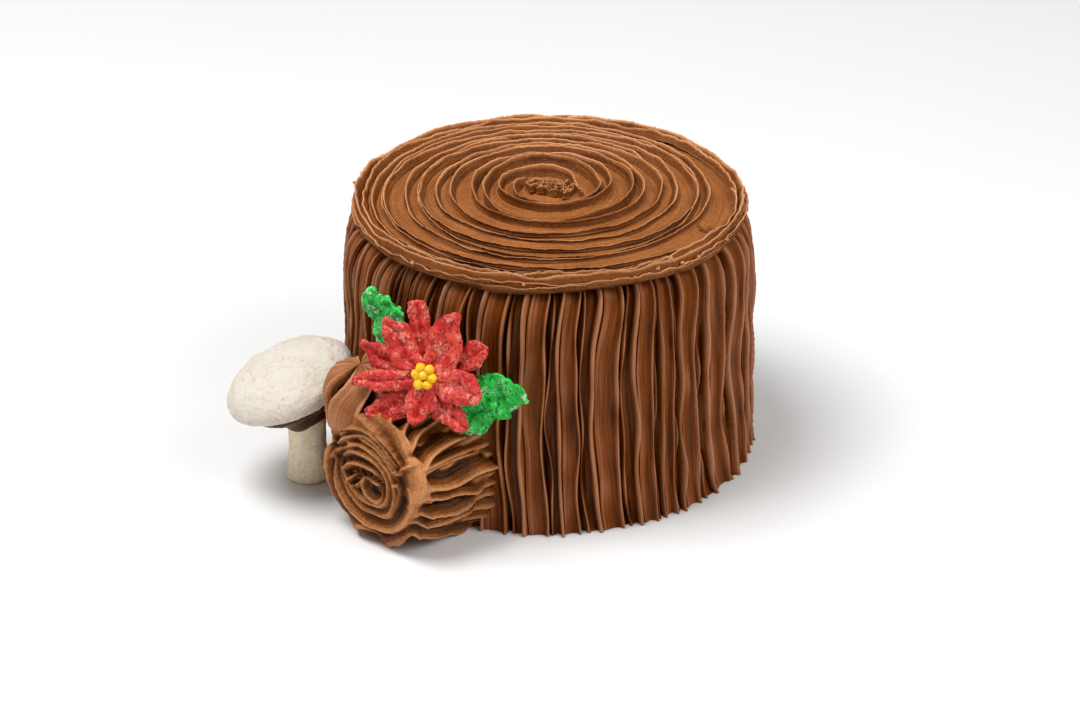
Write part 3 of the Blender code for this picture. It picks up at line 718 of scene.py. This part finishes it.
def make_stem(finish):
    """The stem, widest just above the ground."""
    wide, tall, foot = span("mushroom_stem")
    profile = [
        (0.88, 0), (1.0, 0.6), (1.03, 2.2), (0.98, 4.5), (0.88, 8), (0.84, 0.45 * tall), (0.84, 0.7 * tall),
        (0.88, tall), (0.5, tall),
    ]
    stem = extrude_up("meringue_stem", wide, profile, 40)
    modify(stem, "SUBSURF", levels=2)
    place = Matrix.Translation(foot * MM)
    complete(stem, place, finish, [(7, 1.2), (1.4, 0.35)], "meringue", "mushroom_stem")


def make_cap(finish):
    """A ball squashed from above and below, cut flat underneath, where the rim curls in."""
    wide, tall, foot = span("mushroom_cap", CAP_TILT)
    widest = 0.35 * tall
    bpy.ops.mesh.primitive_uv_sphere_add(segments=96, ring_count=56, radius=wide * MM)
    cap = edit_new("meringue_cap")
    for half, share in ((1, (tall - widest) / wide), (-1, 1.35 * widest / wide)):
        choose(cap, lambda point, number: half * point.z > 0.1 * MM)
        bpy.ops.transform.resize(value=(1, 1, share), center_override=(0, 0, 0))
    bpy.ops.mesh.select_all(action="SELECT")
    bpy.ops.mesh.bisect(plane_co=(0, 0, -widest * MM), plane_no=(0, 0, -1), clear_outer=True, use_fill=True)
    bpy.ops.mesh.inset(thickness=1.5 * MM)
    bpy.ops.mesh.inset(thickness=3 * MM)
    bpy.ops.transform.translate(value=(0, 0, 0.6 * MM))
    bpy.ops.mesh.inset(thickness=6 * MM)
    modify(cap, "SUBSURF", levels=1)
    place = Matrix.Translation(foot * MM) @ CAP_TILT @ Matrix.Translation((0, 0, widest * MM))
    complete(cap, place, finish, [(14, 1.8), (3.5, 0.9), (1.3, 0.45)], "meringue", "mushroom_cap")


def make_coat(finish):
    """The chocolate that joins cap and stem."""
    wide, tall, foot = span("mushroom_coat", CAP_TILT)
    profile = [
        (0.42, 0), (0.47, 0.1 * tall), (0.5, 0.35 * tall), (0.62, 0.6 * tall), (0.86, 0.8 * tall),
        (0.98, 0.87 * tall), (1, 0.95 * tall), (0.97, tall + 0.2), (0.5, tall + 0.2),
    ]
    coat = extrude_up("chocolate_coat", wide * 0.84, profile, 56)
    modify(coat, "SUBSURF", levels=2)
    place = Matrix.Translation(foot * MM) @ CAP_TILT
    complete(coat, place, finish, [(9, 1.6), (2, 0.4)], "dark_chocolate", "mushroom_coat")


# Petals of each ring, in millimetres: (along, out to the left) pairs, (along, out to the right) pairs, lift
# of the tip. Both sides start from the root
PETAL_ROOT = (1, 2)
PETALS = {
    "lower": [
        ([(19, 4.8), (22.7, 5.5), (25.9, 4.4), (26.3, 0.6)], [(15, 2.4), (23.6, 1.9), (26.3, 0.2)], 2.6),
        ([(12, 5), (19, 6.4), (22.6, 2.5), (25.6, 0.5)], [(16, 2.4), (20, 3), (23, 0.8), (25.6, 0)], 1.8),
        ([(13, 8.6), (20, 7.5), (23.6, 3.5), (25.2, -0.2)],
         [(11, 1), (17.6, 3), (21.4, 1.8), (25.2, 0.8)], 0.8),
        ([(12, 2.4), (20, 1.2), (23.7, -1)], [(9, 6), (12, 8.4), (20.3, 5.1), (23.7, 1.9)], 0.6),
        ([(17, 4.4), (21, 5), (24, 3.2), (24.8, 0.6)], [(15, 4.4), (20, 4.2), (22.6, 2.4), (24.8, 0.4)], 2),
    ],
    "upper": [
        ([(9, 7.2), (15, 6), (24.2, 0.8)], [(8, 3.6), (17.7, 6.4), (20.4, 3), (24.2, -0.2)], 3),
        ([(5.5, 3.6), (15.3, 6.9), (19, 7.1), (25.8, 1.8)],
         [(9, 8.2), (16.5, 6.8), (20, 3.6), (25.8, -1.2)], 3.2),
        ([(10, 4.4), (17, 4.1), (22, 2), (25.6, 0.4)], [(11, 2.8), (17.6, 2.9), (23, 1.7), (25.6, 0.1)], 2.2),
        ([(3.5, 5.6), (10, 6.8), (14.5, 2.8), (16.9, -0.8)], [(6.3, 4.4), (10.7, 5), (16.9, 1.5)], 0.6),
        ([(9.6, 6.8), (16.7, 7.4), (19.7, 4.7), (22, 0.6)], [(10, 5.6), (18, 4.8), (22, 0.2)], 0.8),
    ],
}
# Leaves: facing and aim in degrees, then the same pairs
LEAVES = {
    "leaf_right": (
        14, 10,
        [(0, 6), (9, 11), (12.5, 12.5), (17.6, 11.4), (20, 8.6), (20.5, 6.8), (22.8, 6.4), (24.4, 2.4)],
        [(0, 11), (2.3, 11.9), (6.7, 11.6), (9.4, 9.3), (10.9, 6.2), (17, 5.8), (19.3, 3.1), (24.4, -1.8)],
    ),
    "leaf_upper": (
        45, 135,
        [(0, 4), (4.2, 5.1), (11.3, 8.1), (15.6, 4.7), (19.7, 5), (24.3, -1)],
        [(0, 6), (7, 11.3), (9.2, 14), (12.1, 11), (15, 8.8), (17.6, 9.3), (21, 5.1), (22.9, 5.9),
         (24.3, 1.8)],
    ),
}
FLOWER_SQUARE = rotation(-20, "Z") @ rotation(65, "X")
STAMEN_RISE = 6.1  # from the flower's heart out to its dots
DOT_NUDGE = (1.2, 0.3, 0)
DOT_SWELL = 1.22
# A petal or leaf: length of its steps, columns across it, and where it is first made, clear of its place
BLADE_STEP = 0.8
BLADE_COLUMNS = 12
BLADE_ASIDE = -60
# Bands beside its middle: start and end as shares of its half width, how far they are raised or sunk
BLADE_BANDS = [(0, 0.1, -1.1), (0.1, 0.25, -0.5), (0.4, 0.75, 0.45), (0.9, 1.1, -0.3)]


def piped_blade(name, left, right, rises, thickness):
    """A flat-piped petal or leaf along x, with a groove down its middle and a rib on each side of it."""
    length = left[-1][0]
    rows = int(length / BLADE_STEP)
    bpy.ops.mesh.primitive_grid_add(x_subdivisions=rows, y_subdivisions=BLADE_COLUMNS, size=2 * MM)
    bpy.ops.transform.translate(value=(BLADE_ASIDE * MM, 0, 0))
    bpy.ops.object.transform_apply()
    blade = edit_new(name)
    for row in range(rows + 1):
        start = BLADE_ASIDE - 1 + 2 * row / rows
        along = left[0][0] + (length - left[0][0]) * row / rows
        reach_left = np.interp(along, *np.transpose(left))
        reach_right = np.interp(along, *np.transpose(right))
        middle, half = (reach_left - reach_right) / 2, max((reach_left + reach_right) / 2, 0.2)
        choose(blade, lambda point, number: abs(point.x / MM - start) < 0.01)
        bpy.ops.transform.resize(value=(1, half, 1), center_override=(0, 0, 0))
        bpy.ops.transform.translate(value=((along - start) * MM, middle * MM, rises(along) * MM))
    for near, far, rise in BLADE_BANDS:
        choose(blade, lambda point, number: near <= abs(number // (rows + 1) * 2 / BLADE_COLUMNS - 1) < far)
        bpy.ops.transform.translate(value=(0, 0, rise * MM))
    modify(blade, "SOLIDIFY", thickness=thickness * MM, offset=0)
    modify(blade, "SUBSURF", levels=1)
    return blade


def make_petal(node, outline, heart, finish):
    left, right, lift = outline
    points = node_points(node, FLOWER_SQUARE) - np.array(FLOWER_SQUARE.inverted().to_3x3() @ Vector(heart))
    tip = points[np.hypot(points[:, 0], points[:, 1]).argmax()]
    aim = math.atan2(tip[1], tip[0])
    base = points[:, 2].min() + 0.9
    sides = [PETAL_ROOT, *left], [PETAL_ROOT, *right]
    petal = piped_blade(f"piped_{node}", *sides, lambda along: base + lift * (along / 25) ** 2.2, 1.9)
    place = Matrix.Translation(Vector(heart) * MM) @ FLOWER_SQUARE @ Matrix.Rotation(aim, 4, "Z")
    complete(petal, place, finish, [(4.5, 1.8), (1.6, 0.8)], "red_icing", node)


def make_flower(petal_finish, yellow):
    """Two rings of petals and the yellow dots in their middle."""
    low, high = box_mm("stamen_1")
    heart = (low + high) / 2 - STAMEN_RISE * np.array(FLOWER_SQUARE.to_3x3() @ Vector((0, 0, 1)))
    for ring, outlines in PETALS.items():
        for number, outline in enumerate(outlines, 1):
            make_petal(f"petal_{ring}_{number}", outline, heart, petal_finish)
    draws = np.random.default_rng(8)
    nudge = np.array(FLOWER_SQUARE.to_3x3() @ Vector(DOT_NUDGE))
    for number in range(1, 8):
        low, high = box_mm(f"stamen_{number}")
        bpy.ops.mesh.primitive_ico_sphere_add(subdivisions=5, radius=(high[0] - low[0]) / 2 * DOT_SWELL * MM)
        dot = edit_new(f"piped_dot_{number}")
        bpy.ops.transform.resize(value=(1, draws.uniform(0.85, 1.15), draws.uniform(1.0, 1.4)))
        middle = (low + high) / 2 + nudge + draws.uniform(-0.35, 0.35, 3)
        place = Matrix.Translation(Vector(middle) * MM) @ FLOWER_SQUARE
        complete(dot, place, yellow, [(2.2, 0.8)], "yellow_icing", f"stamen_{number}")


def make_leaf(node, outline, finish):
    facing, aim, left, right = outline
    square = rotation(-facing, "Z") @ rotation(90, "X") @ rotation(aim, "Z")
    points = node_points(node, square)
    tip = points[points[:, 0].argmax()]
    start = Vector((points[:, 0].min(), tip[1], points[:, 2].min() + 1.2))
    leaf = piped_blade(f"piped_{node}", left, right, lambda along: 0.4 * math.sin(along / 3), 1.8)
    place = square @ Matrix.Translation(start * MM)
    complete(leaf, place, finish, [(4.5, 3.4), (1.8, 1.1)], "green_icing", node)


class Field:
    """A number or colour that changes over a surface. Arithmetic on it adds Math nodes."""

    def __init__(self, finish, socket):
        self.finish, self.socket = finish, socket

    def maths(self, operation, other):
        return self.finish.node("Math", {"operation": operation}, {0: self, 1: other})

    def __add__(self, other):
        return self.maths("ADD", other)

    def __sub__(self, other):
        return self.maths("SUBTRACT", other)

    def __mul__(self, other):
        return self.maths("MULTIPLY", other)

    def shift(self, amount):
        """A place moved by the same amount each way."""
        return self.finish.node("VectorMath", {"operation": "ADD"}, {0: self, 1: (amount,) * 3})

    __radd__ = __add__


class Finish:
    """One procedural material."""

    def __init__(self, name, **constants):
        self.material = bpy.data.materials.new(name)
        self.material.use_nodes = True
        self.tree = self.material.node_tree
        self.tree.nodes.clear()
        self.shader = self.tree.nodes.new("ShaderNodeBsdfPrincipled")
        output = self.tree.nodes.new("ShaderNodeOutputMaterial")
        self.tree.links.new(self.shader.outputs["BSDF"], output.inputs["Surface"])
        for socket, value in constants.items():
            self.shader.inputs[socket.replace("_", " ")].default_value = value
        self.place = self.node("TexCoord", output="Object")

    def node(self, kind, settings=None, values=None, output=0):
        """Adds a node. Its settings come first, then the values or links of its sockets."""
        made = self.tree.nodes.new("ShaderNode" + kind)
        for key, value in (settings or {}).items():
            if key == "stops":
                ramp = made.color_ramp.elements
                while len(ramp) < len(value):
                    ramp.new(1)
                for stop, (position, colour) in zip(ramp, value):
                    stop.position, stop.color = position, colour
            else:
                setattr(made, key, value)
        for key, value in (values or {}).items():
            if isinstance(value, Field):
                self.tree.links.new(value.socket, made.inputs[key])
            else:
                made.inputs[key].default_value = value
        return Field(self, made.outputs[output])

    def noise(self, scale, detail=3.0, vector=None, rough=0.55):
        values = {"Vector": vector or self.place, "Scale": scale, "Detail": detail, "Roughness": rough}
        return self.node("TexNoise", {}, values)

    def ramp(self, amount, *stops):
        return self.node("ValToRGB", {"stops": stops}, {"Fac": amount})

    def mix(self, amount, first, second):
        return self.node("Mix", {"data_type": "RGBA"}, {0: amount, 6: first, 7: second}, 2)

    def stroke(self):
        """How far along and across its stroke a point lies, and its tone of painted shade and highlight."""
        vector = self.node("Attribute", {"attribute_name": "stroke"}, output="Vector")
        return [self.node("SeparateXYZ", {}, {0: vector}, part) for part in range(3)]

    def vector(self, x, y, z):
        return self.node("CombineXYZ", {}, {0: x, 1: y, 2: z})

    def feed(self, **links):
        for socket, field in links.items():
            self.tree.links.new(field.socket, self.shader.inputs[socket.replace("_", " ")])
        return self

    def relief(self, height, depth):
        return self.node("Bump", {}, {"Strength": 1.0, "Distance": depth, "Height": height})


def grey(value):
    return (value, value, value, 1)


def tint(screen):
    """A colour from its screen values, 0 to 255."""
    parts = [((part / 255 + 0.055) / 1.055) ** 2.4 if part > 10 else part / 3295 for part in screen]
    return (*parts, 1)


def frosting(name, deep, body, edge, gloss, streaks, grainy):
    """Piped chocolate: painted shade in its valleys and a painted highlight on thin edges, following each
    point's tone, with drag lines along each stroke.
    """
    finish = Finish(name, Specular_IOR_Level=0.12)
    along, across, tone = finish.stroke()
    drag = finish.noise(1.0, 4, finish.vector(along * 0.03, across * 1.25, 0.0), 0.6)
    cloud = finish.noise(60, 4)
    grain = finish.noise(850, 3, rough=0.7)
    amount = tone + (drag - 0.5) * streaks + (cloud - 0.5) * 0.35 + (grain - 0.5) * (0.7 * grainy)
    # The deep colour is painted shade for the valleys, the edge colour a painted highlight for thin edges
    colour = finish.ramp(amount, (0.0, tint(deep)), (0.5, tint(body)), (1.0, tint(edge)))
    height = drag * 0.7 + grain * grainy + cloud * 0.5
    finish.feed(Base_Color=colour, Roughness=gloss + (cloud - 0.5) * 0.2 + (drag - 0.5) * 0.2)
    return finish.feed(Normal=finish.relief(height, 0.35 * MM))


SPECK_SCALE = 700 / 0.75


def speckled(name, deep, body, dark, pale, gloss):
    """Icing that changes from a deep to a lighter colour, with dark specks and pale sugar painted as glinting
    highlights.
    """
    finish = Finish(name, Specular_IOR_Level=0.35)
    specks = finish.noise(SPECK_SCALE, 3, rough=0.65)
    sugar_glint = finish.noise(0.9 * SPECK_SCALE, 4, finish.place.shift(0.31), 0.75)
    cloud = finish.noise(170, 3)
    patch = finish.noise(230, 2, finish.place.shift(0.17))
    colour = finish.ramp(cloud, (0.38, tint(deep)), (0.62, tint(body)))
    # Pale spots of sugar that also stand for its glints: painted highlight
    sugar_glint_mask = finish.ramp(sugar_glint + (patch - 0.5) * 0.9, (0.54, grey(0)), (0.72, grey(0.8)))
    colour = finish.mix(sugar_glint_mask, colour, tint(pale))
    colour = finish.mix(finish.ramp(specks, (0.54, grey(0)), (0.6, grey(0.92))), colour, tint(dark))
    height = cloud * 0.6 + specks * 0.4 + sugar_glint * 0.5
    finish.feed(Base_Color=colour, Roughness=gloss + (sugar_glint - 0.5) * 0.5)
    return finish.feed(Normal=finish.relief(height, 0.6 * MM))


def dried_meringue(name, stained, clean, fleck):
    """Dry matt meringue: faint stains and a scatter of darker flecks."""
    finish = Finish(name, Roughness=0.75, Specular_IOR_Level=0.2)
    flecks = finish.noise(620, 6, rough=0.75)
    where = finish.noise(70, 2, finish.place.shift(0.4))
    stain = finish.noise(90, 3)
    grain = finish.noise(1500, 3)
    colour = finish.ramp(stain, (0.35, tint(stained)), (0.7, tint(clean)))
    amount = flecks + (where - 0.5) * 0.25
    colour = finish.mix(finish.ramp(amount, (0.55, grey(0)), (0.62, grey(0.75))), colour, tint(fleck))
    return finish.feed(Base_Color=colour, Normal=finish.relief(flecks * 0.5 + grain * 0.5, 0.4 * MM))


def glossy(name, colour, gloss, relief):
    """Smooth set chocolate or icing of one colour, a little cloudy."""
    finish = Finish(name, Specular_IOR_Level=0.5)
    cloud = finish.noise(300, 3)
    full = tint(colour)
    base = finish.ramp(cloud, (0.3, (*[0.8 * part for part in full[:3]], 1)), (0.6, full))
    finish.feed(Base_Color=base, Roughness=gloss + (cloud - 0.5) * 0.3)
    return finish.feed(Normal=finish.relief(cloud, relief * MM))


def make_camera_and_light():
    camera = added("camera", bpy.data.cameras.new("camera"))
    camera.data.lens = CAMERA_LENS
    camera.data.sensor_width = SENSOR_WIDTH
    back = Vector((0, -math.cos(CAMERA_ELEVATION), math.sin(CAMERA_ELEVATION)))
    camera.location = CAMERA_TARGET + CAMERA_DISTANCE * back
    camera.rotation_euler = (math.pi / 2 - CAMERA_ELEVATION, 0, 0)
    bpy.context.scene.camera = camera
    bpy.context.scene.view_settings.view_transform = "Standard"
    world = bpy.data.worlds.new("studio")
    world.use_nodes = True
    background = world.node_tree.nodes["Background"]
    background.inputs["Color"].default_value = grey(1)
    background.inputs["Strength"].default_value = WORLD_STRENGTH
    bpy.context.scene.world = world
    for name, place, size, power in LIGHTS:
        light = added(name, bpy.data.lights.new(name, "AREA"))
        light.data.size = size
        light.data.energy = power
        light.location = place
        light.rotation_euler = (-Vector(place)).to_track_quat("-Z", "Y").to_euler()


def make_floor():
    bpy.ops.mesh.primitive_plane_add(size=FLOOR_SIZE)
    floor = bpy.context.object
    floor.name = "studio_floor"
    finish = Finish("pale_floor", Roughness=0.9)
    cloud = finish.noise(2.0, 2)
    finish.feed(Base_Color=finish.ramp(cloud, (0.3, grey(0.8)), (0.7, grey(0.84))))
    floor.data.materials.append(finish.material)


make_camera_and_light()
make_floor()
# For each frosting: painted valley shade, body colour, painted edge highlight, then gloss, streaks and grain
make_side(frosting("side_frosting", (34, 12, 0), (122, 60, 8), (172, 116, 82), 0.4, 1.1, 0.25))
top_frosting = frosting("top_frosting", (84, 42, 12), (156, 94, 46), (222, 164, 118), 0.48, 0.8, 0.8)
make_top_floor(top_frosting)
make_top_fins(top_frosting)
make_top_lip(top_frosting)
make_branch(frosting("branch_frosting", (24, 7, 0), (122, 67, 22), (206, 142, 92), 0.46, 0.8, 0.8))
make_curl(frosting("curl_frosting", (44, 20, 4), (156, 96, 54), (204, 142, 102), 0.46, 0.8, 0.5))
# The stem's meringue is a lighter, warmer copy of the cap's; the extra lightness is painted light against the
# shade the cap casts on it
make_stem(dried_meringue("stem_meringue_painted_lighter", (248, 228, 190), (255, 246, 220), (226, 200, 164)))
make_cap(dried_meringue("meringue", (212, 204, 190), (220, 214, 202), (204, 166, 130)))
make_coat(glossy("dark_chocolate", (76, 44, 16), 0.35, 0.4))
red = speckled("red_icing", (194, 28, 24), (218, 72, 58), (138, 8, 10), (238, 150, 130), 0.5)
make_flower(red, glossy("yellow_icing", (252, 196, 0), 0.4, 0.15))
green = speckled("green_icing", (16, 160, 44), (40, 214, 78), (6, 88, 28), (200, 252, 204), 0.42)
for node, outline in LEAVES.items():
    make_leaf(node, outline, green)
